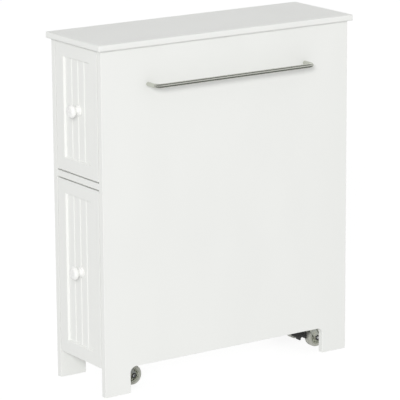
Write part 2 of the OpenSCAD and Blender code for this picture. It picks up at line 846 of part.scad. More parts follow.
// Point on a circle of radius r about c
function round_point(c, r, angle) = c + r * [cos(angle), sin(angle)];

// Point where the tangent from p touches a circle of radius r about c, on the side that s picks
function touch(p, c, r, s) =
  let (v = p - c) round_point(c, r, atan2(v.y, v.x) + s * acos(r / norm(v)));

// Fork seen from its side: edges run from the crown to the axle boss, and a braked caster has a
// lobe that holds the brake pin
module cheek_outline(braked) {
  axle = [trail, wheel_r];
  left = [-cheek_top, crown_top - bend_r];
  right = [cheek_top, crown_top - bend_r];
  translate([-cheek_top, left.y]) square([2 * cheek_top, bend_r]);
  polygon([left, right, touch(right, axle, boss_r, -1), axle, touch(left, axle, boss_r, 1)]);
  translate(axle) circle(r = boss_r);
  if (braked) {
    foot = left + lobe_share * (touch(left, axle, boss_r, 1) - left);
    polygon([left, touch(left, pin_at, pin_lobe, 1), pin_at, touch(foot, pin_at, pin_lobe, -1),
      foot, right]);
    translate(pin_at) circle(r = pin_lobe);
  }
}

// Section of the bent strip: crown above, a cheek down each side
module fork_section() {
  half = cheek_in + cheek_t;
  difference() {
    union() {
      translate([-half, 0]) square([2 * half, crown_top - bend_r]);
      translate([-half + bend_r, 0]) square([2 * (half - bend_r), crown_top]);
      for (s = [-1, 1]) translate([s * (half - bend_r), crown_top - bend_r]) circle(r = bend_r);
    }
    inner_r = bend_r - cheek_t;
    translate([-cheek_in, -cut]) square([2 * cheek_in, crown_low - inner_r + cut]);
    translate([-cheek_in + inner_r, -cut]) square([2 * (cheek_in - inner_r), crown_low + cut]);
    for (s = [-1, 1]) translate([s * (cheek_in - inner_r), crown_low - inner_r]) circle(r = inner_r);
  }
}

module caster_fork(braked) {
  half = cheek_in + cheek_t;
  long = trail + wheel_d;
  color(zinc) difference() {
    union() {
      translate([0, 0, crown_low]) cylinder(r = crown_r, h = crown_t);
      intersection() {
        translate([0, long, 0]) rotate([90, 0, 0]) linear_extrude(2 * long) fork_section();
        translate([-half - cut, 0, 0]) rotate([90, 0, 90]) linear_extrude(2 * (half + cut))
          cheek_outline(braked);
      }
    }
    translate([0, 0, crown_low - cut]) cylinder(r = kingpin_r + run_fit, h = crown_t + 2 * cut);
    across(axle_at(), axle_r + fit, half + cut);
    if (braked) across(pin_at, pin_r + fit, half + cut);
  }
}

function axle_at() = [trail, wheel_r];

// A round bar across the caster at a point of the y-z plane
module across(at, r, half) {
  translate([-half, at.x, at.y]) rotate([0, 90, 0]) cylinder(r = r, h = 2 * half);
}

module pair_of_heads(at, from, r, h) {
  both_sides() translate([from, at.x, at.y]) rotate([0, 90, 0])
    cylinder(r1 = r, r2 = r * rivet_taper, h = h);
}

// Riveted axle, and on a braked caster the pedal's pin
module caster_axle(braked) {
  outer = cheek_in + cheek_t;
  color(steel) {
    across(axle_at(), axle_r, outer + washer_t + axle_head[1] / 2);
    pair_of_heads(axle_at(), outer + washer_t, axle_head[0], axle_head[1]);
    if (braked) {
      across(pin_at, pin_r, outer + pin_head[1] / 2);
      pair_of_heads(pin_at, outer, pin_head[0], pin_head[1]);
    }
  }
}

module axle_washers() {
  outer = cheek_in + cheek_t;
  color(black) both_sides() translate([outer, trail, wheel_r]) rotate([0, 90, 0]) difference() {
    cylinder(r = washer_r, h = washer_t);
    translate([0, 0, -cut]) cylinder(r = axle_r + fit, h = washer_t + 2 * cut);
  }
}

// Wheel's clear core: hub, web, rim and ribs that run from hub to rim on both faces
module wheel_core() {
  rim_half = wheel_wid / 2 - 1;
  rib_half = rim_half - rib_drop;
  color(clear_grey) translate([0, trail, wheel_r]) rotate([0, 90, 0]) difference() {
    union() {
      rotate_extrude() {
        translate([0, -hub_half]) square([hub_r, 2 * hub_half]);
        translate([0, -web_half]) square([core_r, 2 * web_half]);
        translate([core_r - rim_t, -rim_half]) square([rim_t, 2 * rim_half]);
      }
      for (i = [0 : rib_count - 1]) rotate(360 * i / rib_count)
        translate([0, -rib_t / 2, -rib_half]) cube([core_r - rim_t / 2, rib_t, 2 * rib_half]);
    }
    translate([0, 0, -hub_half - cut]) cylinder(r = axle_r + run_fit, h = 2 * (hub_half + cut));
  }
}

// Soft tread round the core
module tread() {
  color(pale_grey) translate([0, trail, wheel_r]) rotate([0, 90, 0]) rotate_extrude() {
    translate([core_r, -wheel_wid / 2 + tread_edge])
      square([wheel_r - core_r, wheel_wid - 2 * tread_edge]);
    translate([core_r, -wheel_wid / 2]) square([wheel_r - core_r - tread_edge, wheel_wid]);
    for (s = [-1, 1]) translate([wheel_r - tread_edge, s * (wheel_wid / 2 - tread_edge)])
      intersection() {
        circle(r = tread_edge);
        translate([-(wheel_r - core_r - tread_edge), -tread_edge])
          square([wheel_r - core_r, 2 * tread_edge]);
      }
  }
}

// Brake pedal: hub on the pin, shoe that meets the tread, wide toe to press it down, and a spur
// below the toe to lift it again
module brake_pedal() {
  nose = round_point(axle_at(), wheel_r + shoe_gap + shoe_r, shoe_angle);
  side = function (angle) [round_point(pin_at, pedal_hub_r, angle),
    round_point(nose, shoe_r, angle), nose, pin_at];
  toe = concat([[-2, 2]], toe_slope, [[-18.6, -11.3], [-19.5, -12.9], [-19.5, -14.9],
    [-18, -14.9], [-17, -13.4], [-4, -10.4], [0, -6]]);
  spur = [[-9, -11], [-14.2, -12], [-13.8, -20.1], [-12.6, -21.1], [-11.2, -20.3]];
  color(black) difference() {
    union() {
      across(pin_at, pedal_hub_r, pedal_hub_wid / 2);
      translate([-shoe_wid / 2, 0, 0]) rotate([90, 0, 90]) linear_extrude(shoe_wid) {
        for (angle = shoe_sides) polygon(side(angle));
        translate(nose) circle(r = shoe_r);
      }
      translate([0, pin_at.x, pin_at.y]) {
        pedal_slab(toe, pedal_hub_wid);
        pedal_slab(spur, spur_wid);
        intersection() {
          pedal_slab(toe, pedal_wid);
          translate([-pedal_wid / 2, pedal_neck - wheel_d, -wheel_r]) cube([pedal_wid, wheel_d, wheel_d]);
        }
      }
      for (k = grip_ribs) across(pin_at + toe_slope[0] + k * (toe_slope[1] - toe_slope[0]), grip_r,
        pedal_wid / 2 - grip_inset);
    }
    across(pin_at, pin_r + run_fit, pedal_wid);
  }
}

// Part of the pedal that keeps one outline across its width
module pedal_slab(outline, wid) {
  translate([-wid / 2, 0, 0]) rotate([90, 0, 90]) linear_extrude(wid) polygon(outline);
}

// ---- nodes ----------------------------------------------------------------------------------

side_panel_left();
side_panel_right();
top_panel();
bottom_panel();
middle_shelf();
back_panel();
cam_locks();
cam_bolts();
dowels();
towel_bar();
towel_bar_screws();
slide_rails(upper_box);  // upper_slide_rails
slide_rails(lower_box);  // lower_slide_rails
slide_screws();
ball_cages(upper_box);  // upper_ball_cages
ball_cages(lower_box);  // lower_ball_cages
drawer_front(upper_span, upper_box);  // upper_front
box_side_left(upper_box);  // upper_side_left
box_side_right(upper_box);  // upper_side_right
box_back(upper_box);  // upper_back
box_bottom(upper_box);  // upper_bottom
runners(upper_box);  // upper_runners
knob(upper_span);  // upper_knob
fixings(upper_span, upper_box);  // upper_fixings
drawer_front(lower_span, lower_box);  // lower_front
box_side_left(lower_box);  // lower_side_left
box_side_right(lower_box);  // lower_side_right
box_back(lower_box);  // lower_back
box_bottom(lower_box);  // lower_bottom
runners(lower_box);  // lower_runners
knob(lower_span);  // lower_knob
fixings(lower_span, lower_box);  // lower_fixings
caster_screws();
swivel_balls();
caster_at(0, 0) caster_plate();  // caster_plate_fl
caster_at(1, 0) caster_plate();  // caster_plate_fr
caster_at(0, 1) caster_plate();  // caster_plate_rl
caster_at(1, 1) caster_plate();  // caster_plate_rr
caster_at(0, 0) caster_fork(false);  // caster_fork_fl
caster_at(1, 0) caster_fork(false);  // caster_fork_fr
caster_at(0, 1) caster_fork(true);  // caster_fork_rl
caster_at(1, 1) caster_fork(true);  // caster_fork_rr
caster_at(0, 0) caster_axle(false);  // axle_fl
caster_at(1, 0) caster_axle(false);  // axle_fr
caster_at(0, 1) caster_axle(true);  // axle_rl
caster_at(1, 1) caster_axle(true);  // axle_rr
caster_at(0, 0) axle_washers();  // axle_washers_fl
caster_at(1, 0) axle_washers();  // axle_washers_fr
caster_at(0, 1) axle_washers();  // axle_washers_rl
caster_at(1, 1) axle_washers();  // axle_washers_rr
caster_at(0, 0) wheel_core();  // wheel_core_fl
caster_at(1, 0) wheel_core();  // wheel_core_fr
caster_at(0, 1) wheel_core();  // wheel_core_rl
caster_at(1, 1) wheel_core();  // wheel_core_rr
caster_at(0, 0) tread();  // tread_fl
caster_at(1, 0) tread();  // tread_fr
caster_at(0, 1) tread();  // tread_rl
caster_at(1, 1) tread();  // tread_rr
caster_at(0, 1) brake_pedal();  // brake_pedal_rl
caster_at(1, 1) brake_pedal();  // brake_pedal_rr
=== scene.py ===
"""Finishes, small fittings and stage for a slim white bathroom cabinet on casters."""

import json
import math

import bmesh
import bpy
from bpy.props import FloatProperty, FloatVectorProperty, PointerProperty
from mathutils import Matrix, Vector

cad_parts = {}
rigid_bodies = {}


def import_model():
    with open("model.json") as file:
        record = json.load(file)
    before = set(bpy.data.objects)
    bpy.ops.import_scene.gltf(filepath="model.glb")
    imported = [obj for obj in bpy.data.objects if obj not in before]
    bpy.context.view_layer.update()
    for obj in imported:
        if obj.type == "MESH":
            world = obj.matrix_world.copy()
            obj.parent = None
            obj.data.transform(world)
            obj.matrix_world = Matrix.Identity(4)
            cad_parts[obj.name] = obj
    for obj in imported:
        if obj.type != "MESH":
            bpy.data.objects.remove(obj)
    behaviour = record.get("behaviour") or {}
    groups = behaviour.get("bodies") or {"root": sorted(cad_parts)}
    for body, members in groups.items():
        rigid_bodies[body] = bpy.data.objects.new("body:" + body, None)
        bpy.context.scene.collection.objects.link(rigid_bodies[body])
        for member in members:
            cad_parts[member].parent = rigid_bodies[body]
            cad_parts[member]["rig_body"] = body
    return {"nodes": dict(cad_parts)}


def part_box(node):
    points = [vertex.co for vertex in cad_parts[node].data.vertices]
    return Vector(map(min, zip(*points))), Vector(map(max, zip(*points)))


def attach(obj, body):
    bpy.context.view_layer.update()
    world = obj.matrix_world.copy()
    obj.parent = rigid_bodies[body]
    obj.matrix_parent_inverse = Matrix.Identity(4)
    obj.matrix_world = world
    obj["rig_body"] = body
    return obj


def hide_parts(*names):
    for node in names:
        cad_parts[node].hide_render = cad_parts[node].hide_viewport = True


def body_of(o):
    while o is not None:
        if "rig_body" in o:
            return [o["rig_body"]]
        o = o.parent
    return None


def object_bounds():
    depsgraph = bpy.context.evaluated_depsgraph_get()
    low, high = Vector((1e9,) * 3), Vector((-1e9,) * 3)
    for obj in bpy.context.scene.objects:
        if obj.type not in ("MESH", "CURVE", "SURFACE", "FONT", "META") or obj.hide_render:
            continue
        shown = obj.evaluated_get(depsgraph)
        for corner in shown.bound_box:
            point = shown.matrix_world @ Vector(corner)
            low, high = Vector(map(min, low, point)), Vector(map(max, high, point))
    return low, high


bl_info = {
    "name": "Slim rolling cabinet",
    "version": (1, 0, 0),
    "blender": (4, 5, 0),
    "location": "View3D > Sidebar > Cabinet",
    "description": "Finishes, fittings and stage for a slim bathroom cabinet on casters",
    "category": "Object",
}

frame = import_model()
CAD_BOX = [list(corner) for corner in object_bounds()]
NODES = frame["nodes"]
MM = 0.001
SAME_SPOT = 0.001 * MM  # corners that are no further apart are one corner
CORNERS = ("fl", "fr", "rl", "rr")
DRAWERS = ("upper", "lower")

# Screws
HEAD_RATIO = 1.2  # a screw's head is at least this many times as wide as its other end
RIM_SHARE = 0.3  # share of a domed head's height that its upright rim takes
DOME_STEPS = 6
POINT_LENGTH = 2  # of a screw's point, in radii of the shank
RECESS_SPAN = 0.95  # a cross recess's span, slot width and depth, in radii of the head
RECESS_WIDTH = 0.28
RECESS_DEPTH = 0.5
CUTTER_TOP = 1.9  # length of a slot's cutter one depth above the head, in spans of the recess
CUTTER_FOOT = 0.35  # its length at the bottom of the slot
CUTTER_TAPER = 0.25  # how much of that change of length its width follows

# Room: where one part fades into the next, as the Z or X part of a direction from the cabinet
HORIZON = (-0.15, 0.15)  # from the ground's light to the sky's
WALL_FOOT = (-0.22, -0.08)  # from the dark floor to the wall
WALL_TOP = (0.52, 0.62)  # from the wall to the dark ceiling
WALL_SIDE = (-0.1, 0.15)  # from the plain room to the wall, which is on the bar's side only
FILL_FAR = 3  # the back and side lights' distance and width, as multiples of the key light's
FILL_WIDE = 2
FLOOR_RADIUS = 14  # metres, past the edge of the view
SENSOR_WIDTH = 36  # mm
VIEW_END = 100  # metres


# ---- colours and shader nodes ------------------------------------------------------------------


def linear(hex_colour):
    """Linear red, green and blue of an sRGB hex colour."""
    parts = [int(hex_colour[i : i + 2], 16) / 255 for i in (1, 3, 5)]
    return [p / 12.92 if p <= 0.04045 else ((p + 0.055) / 1.055) ** 2.4 for p in parts]


def add(tree, kind, links=None, **settings):
    """Adds a shader node. settings are its own; links gives its inputs values or other outputs."""
    node = tree.nodes.new(kind)
    for name, value in settings.items():
        setattr(node, name, value)
    for name, source in (links or {}).items():
        if isinstance(source, bpy.types.NodeSocket):
            tree.links.new(source, node.inputs[name])
        else:
            node.inputs[name].default_value = source
    return node


def start(name, colour, **inputs):
    """A new material, its node tree, its shader and each point's place on the model in metres.
    inputs are values for the shader's sockets, with _ for each space in their names."""
    material = bpy.data.materials.new(name)
    material.use_nodes = True
    tree = material.node_tree
    tree.nodes.clear()
    shader = add(tree, "ShaderNodeBsdfPrincipled", {"Base Color": (*colour, 1)})
    for socket, value in inputs.items():
        shader.inputs[socket.replace("_", " ")].default_value = value
    add(tree, "ShaderNodeOutputMaterial", {"Surface": shader.outputs[0]})
    place = add(tree, "ShaderNodeTexCoord").outputs["Object"]
    material.diffuse_color = (*colour, 1)
    return material, tree, shader, place


def stretch(tree, place, times, axis=1):
    """Place with one axis drawn out so many times, for grain and marks that run along it."""
    scale = [1.0, 1.0, 1.0]
    scale[axis] = 1 / times
    return add(tree, "ShaderNodeMapping", {"Vector": place, "Scale": scale}).outputs[0]


def noise(tree, place, size, detail=2.0, rough=0.5):
    """Noise whose blotches are about size metres wide."""
    links = {"Vector": place, "Scale": 1 / size, "Detail": detail, "Roughness": rough}
    return add(tree, "ShaderNodeTexNoise", links).outputs["Fac"]


def spread(tree, value, low, high):
    """Noise, which lies mostly between 0.3 and 0.7, turned into a range from low to high."""
    links = {"Value": value, "From Min": 0.3, "From Max": 0.7, "To Min": low, "To Max": high}
    return add(tree, "ShaderNodeMapRange", links, clamp=True).outputs[0]


def tint(tree, shader, pattern, first, second):
    """Lets the colour wander from first to second with a noise pattern."""
    links = {0: spread(tree, pattern, 0, 1), 6: (*first, 1), 7: (*second, 1)}
    mixed = add(tree, "ShaderNodeMix", links, data_type="RGBA")
    tree.links.new(mixed.outputs[2], shader.inputs["Base Color"])


def dull(tree, shader, pattern, low, high):
    """Lets the roughness wander from low to high with a noise pattern."""
    tree.links.new(spread(tree, pattern, low, high), shader.inputs["Roughness"])


def relief(tree, shader, height, depth):
    """Bumps of a real depth in metres."""
    bump = add(tree, "ShaderNodeBump", {"Height": height, "Strength": 1.0, "Distance": depth})
    tree.links.new(bump.outputs[0], shader.inputs["Normal"])


def shade(colour, factor):
    """The colour made lighter or darker."""
    return [min(1.0, part * factor) for part in colour]


# ---- materials ---------------------------------------------------------------------------------


def white_lacquer(name, colour, roughness):
    """MDF sprayed with white satin lacquer and cured: an even white with a soft, low gloss,
    a faint orange peel and a barely seen change of tone from pass to pass of the gun."""
    material, tree, shader, place = start(name, colour, IOR=1.5)
    passes = noise(tree, stretch(tree, place, 2.2, axis=2), 90 * MM, 1.0)
    tint(tree, shader, passes, shade(colour, 0.985), colour)
    # Orange peel is 1 to 3 mm wide; 4 mm here, so that it shows in a view of the whole cabinet
    peel = noise(tree, place, 4 * MM, 1.0)
    dull(tree, shader, peel, roughness - 0.03, roughness + 0.04)
    relief(tree, shader, peel, 0.02 * MM)
    return material


def brushed_stainless(name, colour):
    """Stainless rod polished on a belt: a warm grey metal whose highlights run as soft streaks
    along it, because the belt leaves hair lines of a few hundredths of a millimetre."""
    material, tree, shader, place = start(name, colour, Metallic=1.0)
    # Hair lines drawn 0.5 mm wide and 60 mm long, as fine as the view can show
    hair = noise(tree, stretch(tree, place, 120), 0.5 * MM, 3.0, 0.6)
    tint(tree, shader, hair, shade(colour, 0.88), shade(colour, 1.08))
    dull(tree, shader, hair, 0.15, 0.26)
    relief(tree, shader, hair, 0.01 * MM)
    return material


def zinc_plate(name, colour, roughness):
    """Pressed steel with clear-passivated zinc: a cool, cloudy grey metal with a faint
    straw-to-blue cast where the passivation is thicker."""
    material, tree, shader, place = start(name, colour, Metallic=1.0)
    straw = [colour[0] * 1.04, colour[1], colour[2] * 0.9]
    blue = [colour[0] * 0.88, colour[1] * 0.94, colour[2] * 1.02]
    tint(tree, shader, noise(tree, place, 7 * MM, 3.0, 0.6), straw, blue)
    grain = noise(tree, place, 0.6 * MM, 2.0)
    dull(tree, shader, grain, roughness - 0.07, roughness + 0.08)
    relief(tree, shader, grain, 0.012 * MM)
    return material


def rolled_zinc(name, colour):
    """Cold-rolled strip, zinc plated and roll-formed into slides: the cloudy zinc grey with fine
    roll lines along its length and a dull film of grease."""
    material, tree, shader, place = start(name, colour, Metallic=1.0)
    # Roll lines drawn 0.9 mm wide and 72 mm long, coarser than real ones so that they show
    lines = noise(tree, stretch(tree, place, 80), 0.9 * MM, 3.0, 0.65)
    tint(tree, shader, lines, shade(colour, 0.84), shade(colour, 1.06))
    dull(tree, shader, noise(tree, place, 18 * MM, 2.0), 0.4, 0.55)
    relief(tree, shader, lines, 0.01 * MM)
    return material


def polished_steel(name, colour):
    """Hardened and ground steel, as balls and axles have: near mirror bright, with only a haze
    of fine grinding marks."""
    material, tree, shader, place = start(name, colour, Metallic=1.0)
    dull(tree, shader, noise(tree, place, 1.5 * MM, 2.0), 0.1, 0.2)
    return material


def soft_tread(name, colour):
    """Thermoplastic rubber moulded over the wheel's core: pale grey, slightly see-through at
    the edges, with a matt skin that has picked up a little floor dust."""
    material, tree, shader, place = start(
        name, colour, IOR=1.5, Subsurface_Weight=0.35, Subsurface_Radius=(1.0, 1.0, 0.9),
        Subsurface_Scale=1.5 * MM,
    )
    dust = noise(tree, place, 3 * MM, 4.0, 0.6)
    tint(tree, shader, dust, shade(colour, 0.9), shade(colour, 1.03))
    dull(tree, shader, dust, 0.42, 0.6)
    relief(tree, shader, noise(tree, place, 0.5 * MM, 2.0), 0.02 * MM)
    return material


def tinted_core(name, colour):
    """Polypropylene moulded clear with a grey-green tint: it lets some light in, so its hub and
    ribs look deep and its edges light."""
    material, tree, shader, place = start(
        name, colour, Roughness=0.22, IOR=1.49, Transmission_Weight=0.2,
        Subsurface_Weight=0.6, Subsurface_Radius=(1.0, 1.0, 0.93), Subsurface_Scale=4 * MM,
    )
    flow = noise(tree, place, 5 * MM, 2.0)
    tint(tree, shader, flow, shade(colour, 0.9), shade(colour, 1.06))
    relief(tree, shader, flow, 0.02 * MM)
    return material


def black_nylon(name, colour):
    """Glass-filled nylon moulded in a spark-eroded tool: a deep black with a fine matt grain that
    catches light as a grey bloom on its edges."""
    material, tree, shader, place = start(name, colour, IOR=1.53)
    # The grain of the tool is about 0.1 mm; 0.4 mm here, so that a close view shows it
    grain = noise(tree, place, 0.4 * MM, 2.0)
    dull(tree, shader, grain, 0.4, 0.55)
    tint(tree, shader, grain, shade(colour, 0.8), shade(colour, 1.5))
    relief(tree, shader, grain, 0.03 * MM)
    return material


def beech_peg(name, colour):
    """Turned beech, unfinished: warm tan with short darker flecks along the grain."""
    material, tree, shader, place = start(name, colour, Roughness=0.62, IOR=1.5)
    fleck = noise(tree, stretch(tree, place, 5, axis=0), 0.6 * MM, 3.0, 0.6)
    tint(tree, shader, fleck, shade(colour, 0.72), shade(colour, 1.08))
    relief(tree, shader, fleck, 0.03 * MM)
    return material


# ---- mesh helpers ------------------------------------------------------------------------------


def dress(nodes, material, edge=0.0, facets=40):
    """Gives CAD nodes their finish and, where edge is set, rounds each edge that turns by more
    than facets, an angle in degrees."""
    for name in nodes:
        piece = NODES[name]
        piece.data.materials.clear()
        piece.data.materials.append(material)
        if edge:
            # The CAD mesh has split edges, and flat faces in triangles: both would stop the bevel
            piece.modifiers.new("joined faces", "WELD").merge_threshold = SAME_SPOT
            flat = piece.modifiers.new("whole flat faces", "DECIMATE")
            flat.decimate_type = "DISSOLVE"
            flat.angle_limit = math.radians(0.5)
            soft = piece.modifiers.new("eased edges", "BEVEL")
            soft.width = edge
            soft.segments = 2
            soft.limit_method = "ANGLE"
            soft.angle_limit = math.radians(facets)
            soft.use_clamp_overlap = False
            piece.modifiers.new("even shading", "WEIGHTED_NORMAL").keep_sharp = True


def make_piece(name, mesh, body, slot, material, *stands_for, smooth=35):
    """Links a new piece to the scene, on its body, and hides what it replaces.
    Edges that turn by less than smooth, an angle in degrees, are shaded round. The slot is not
    used."""
    data = bpy.data.meshes.new(name)
    mesh.to_mesh(data)
    mesh.free()
    data.materials.append(material)
    data.shade_smooth()
    data.set_sharp_from_angle(angle=math.radians(smooth))
    piece = bpy.data.objects.new(name, data)
    bpy.context.scene.collection.objects.link(piece)
    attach(piece, body)
    if stands_for:
        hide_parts(*stands_for)


# ---- screws ------------------------------------------------------------------------------------


def split_solids(mesh):
    """The separate solids of a mesh, each a list of its vertices."""
    left = set(mesh.verts)
    solids = []
    for first in list(mesh.verts):
        if first not in left:
            continue
        left.remove(first)
        solid = [first]
        for vert in solid:
            near = {edge.other_vert(vert) for edge in vert.link_edges} & left
            left -= near
            solid.extend(sorted(near, key=lambda v: v.index))
        solids.append(solid)
    return solids


def read_screw(solid):
    """Place and outline of a turned solid with a head at one end, or None for any other solid.
    The place's z axis runs out of the head, and the outline is [(depth below its top, radius)]."""
    low = Vector([min(v.co[i] for v in solid) for i in range(3)])
    high = Vector([max(v.co[i] for v in solid) for i in range(3)])
    size = high - low
    axis = max(range(3), key=lambda i: size[i])
    middle = (low + high) / 2
    rows = {}
    for vert in solid:
        off = vert.co - middle
        off[axis] = 0
        height = round(vert.co[axis], 6)
        rows[height] = max(rows.get(height, 0), off.length)
    heights = sorted(rows)
    first, last = rows[heights[0]], rows[heights[-1]]
    if first > HEAD_RATIO * last:
        out = -1
    elif last > HEAD_RATIO * first:
        out = 1
    else:
        return None
    top = heights[-1] if out > 0 else heights[0]
    middle[axis] = top
    way = Vector([out if i == axis else 0 for i in range(3)])
    place = Matrix.Translation(middle) @ way.to_track_quat("Z", "Y").to_matrix().to_4x4()
    return place, sorted((abs(h - top), r) for h, r in rows.items())


def turn(mesh, place, outline, segments=28):
    """Adds a solid turned about the place's z axis. The outline is [(radius, height)], and its
    ends lie on the axis."""
    rings = []
    for radius, height in outline:
        count = segments if radius > 0 else 1
        rings.append([
            mesh.verts.new(place @ Vector((radius * math.cos(2 * math.pi * i / count),
                                           radius * math.sin(2 * math.pi * i / count), height)))
            for i in range(count)
        ])
    for one, two in zip(rings, rings[1:]):
        for i in range(segments):
            j = (i + 1) % segments
            corners = [one[i % len(one)], one[j % len(one)], two[j % len(two)], two[i % len(two)]]
            mesh.faces.new(list(dict.fromkeys(corners)))


def wedge(mesh, place, span, width, depth):
    """Adds a tapered bar across the place's origin, a tool that cuts one slot of a cross recess."""
    layers = []
    for height, grow in ((depth, CUTTER_TOP), (-depth, CUTTER_FOOT)):
        x, y = span / 2 * grow, width / 2 * (1 + CUTTER_TAPER * (grow - 1))
        layers.append([mesh.verts.new(place @ Vector((x * a, y * b, height)))
                       for a, b in ((1, 1), (-1, 1), (-1, -1), (1, -1))])
    upper, lower = layers
    mesh.faces.new(upper)
    mesh.faces.new(reversed(lower))
    for i in range(4):
        j = (i + 1) % 4
        mesh.faces.new([upper[j], upper[i], lower[i], lower[j]])


def stand_in(mesh):
    """A passing object that holds a mesh while modifiers work on it."""
    data = bpy.data.meshes.new("stand_in")
    mesh.to_mesh(data)
    mesh.free()
    thing = bpy.data.objects.new("stand_in", data)
    bpy.context.scene.collection.objects.link(thing)
    return thing


def cut_away(mesh, tools):
    """The mesh less each of the tools, which are meshes too."""
    work = stand_in(mesh)
    cutters = [stand_in(tool) for tool in tools]
    for cutter in cutters:
        cut = work.modifiers.new("cut", "BOOLEAN")
        cut.operation = "DIFFERENCE"
        cut.solver = "EXACT"
        cut.object = cutter
    graph = bpy.context.evaluated_depsgraph_get()
    graph.update()
    result = bmesh.new()
    result.from_mesh(work.evaluated_get(graph).data)
    for spare in [work, *cutters]:
        bpy.data.objects.remove(spare)
    return result


def screw_outline(rows):
    """Outline of a screw, [(radius, height)], from what read_screw gives: a domed or countersunk
    head, a shank and a point."""
    (_, head), (seat, under) = rows[0], rows[1]
    length, shank = rows[-1]
    if under > 0.99 * head:  # straight sides, so a domed head and not a countersunk one
        rise = seat * (1 - RIM_SHARE)
        angles = [math.pi / 2 * (k + 1) / DOME_STEPS for k in range(DOME_STEPS)]
        dome = [(head * math.sin(a), -rise * (1 - math.cos(a))) for a in angles]
        top = [(0, 0), *dome, (head, -seat), (shank, -seat)]
    else:
        top = [(0, 0), (head, 0), (shank, -seat)]
    return [*top, (shank, POINT_LENGTH * shank - length), (0, -length)]


def make_screws(node, name, material):
    """Redraws a node's screws with domed or countersunk heads and a cross recess, and keeps what
    else the node holds."""
    mesh = bmesh.new()
    mesh.from_mesh(NODES[node].data)
    bmesh.ops.remove_doubles(mesh, verts=mesh.verts, dist=SAME_SPOT)
    mesh.verts.index_update()
    screws = bmesh.new()
    tools = [bmesh.new(), bmesh.new()]
    for solid in split_solids(mesh):
        found = read_screw(solid)
        if not found:
            continue
        place, rows = found
        head = rows[0][1]
        turn(screws, place, screw_outline(rows))
        for tool, angle in zip(tools, (0, 90)):
            wedge(tool, place @ Matrix.Rotation(math.radians(angle), 4, "Z"),
                  RECESS_SPAN * head, RECESS_WIDTH * head, RECESS_DEPTH * head)
        bmesh.ops.delete(mesh, geom=solid, context="VERTS")
    recessed = cut_away(screws, tools)
    if mesh.verts:
        kept = bpy.data.meshes.new("kept")
        mesh.to_mesh(kept)
        recessed.from_mesh(kept)
    mesh.free()
    bmesh.ops.recalc_face_normals(recessed, faces=recessed.faces)
    make_piece(name, recessed, body_of(NODES[node])[0], "zinc_hardware", material, node)


# ---- colours and sizes that a user would change -------------------------------------------------


def colour_choice(label, words, hex_colour):
    """A colour property whose default is an sRGB hex value."""
    return FloatVectorProperty(
        name=label, description=words, subtype="COLOR", size=3, min=0, max=1,
        default=linear(hex_colour),
    )


def number_choice(label, words, value):
    """A number property with its default."""
    return FloatProperty(name=label, description=words, default=value)


def length_choice(label, words, millimetres):
    """A length property with its default in millimetres."""
    return FloatProperty(
        name=label, description=words, unit="LENGTH", min=0, default=millimetres * MM
    )


class CabinetColours(bpy.types.PropertyGroup):
    """Colours of the cabinet's finishes."""

    lacquer: colour_choice("Lacquer", "Satin lacquer on the boards and fronts", "#f3f4f1")
    knob: colour_choice("Knobs", "Lacquer on the turned knobs", "#f7f7f5")
    bar: colour_choice("Towel bar", "Brushed stainless steel", "#d2d4cb")
    zinc: colour_choice("Zinc", "Zinc plating on pressings and screws", "#dcddd5")
    slide: colour_choice("Slides", "Zinc plating on the drawer slides", "#dcddde")
    steel: colour_choice("Bright steel", "Balls, axles and pins", "#d0d1d3")
    tread: colour_choice("Tread", "Soft tread of the wheels", "#b8b9b0")
    core: colour_choice("Wheel core", "Tinted core of the wheels", "#bfc2b4")
    nylon: colour_choice("Nylon", "Brake pedals and washers", "#272726")
    beech: colour_choice("Beech", "Dowels", "#d2ab78")


class CabinetSizes(bpy.types.PropertyGroup):
    """Roundings that the finishes give to sharp edges."""

    board_edge: length_choice("Board edge", "Rounding sanded onto the boards' edges", 0.6)
    field_edge: length_choice("Field edge", "Rounding on the fronts' planked field", 0.35)
    metal_edge: length_choice("Metal edge", "Rounding on pressed metal and box boards", 0.15)
    plastic_edge: length_choice("Plastic edge", "Rounding on moulded plastic", 0.25)


class CabinetStage(bpy.types.PropertyGroup):
    """Where the camera stands and how the stage is lit."""

    azimuth: number_choice("Azimuth", "Camera's way round from the front, in degrees", 55.99)
    elevation: number_choice("Elevation", "Camera's angle above the floor, in degrees", 13.77)
    roll: number_choice("Roll", "Camera's tilt, in degrees", -0.3555)
    distance: length_choice("Distance", "From the camera to the cabinet's middle", 4918.1)
    lens: number_choice("Lens", "Focal length in mm, on the sensor's width", 234.32)
    aim_across: length_choice("Aim across", "How far the camera stands to its own left", 5.17)
    aim_down: length_choice("Aim down", "How far the camera stands below its aim", 4.13)
    key: number_choice("Key light", "Strength of the key light", 1.64)
    key_azimuth: number_choice("Key azimuth", "Way round to the key light, in degrees", 51)
    key_elevation: number_choice("Key elevation", "Height of the key light, in degrees", 19.5)
    key_spread: number_choice("Key spread", "Key light's width as the cabinet sees it", 16)
    key_distance: length_choice("Key distance", "From the key light to the cabinet", 11000)
    back: number_choice("Back light", "Strength of the light behind", 0.7)
    side: number_choice("Side light", "Strength of the light on the left side", 0.4)
    side_azimuth: number_choice("Side azimuth", "Way round to that light, in degrees", 262)
    sky: number_choice("Sky", "Brightness of the light from above", 0.57)
    ground: number_choice("Ground", "Brightness of the light from below", 0.66)
    wall: number_choice("Wall", "Brightness of the wall that gloss sees", 0.8)
    dark: number_choice("Dark", "Brightness above and below that wall", 0.16)
    floor_glow: number_choice("Floor", "Brightness of the floor by itself", 0.85)


# ---- operators: one for each kind of piece and one for the stage --------------------------------


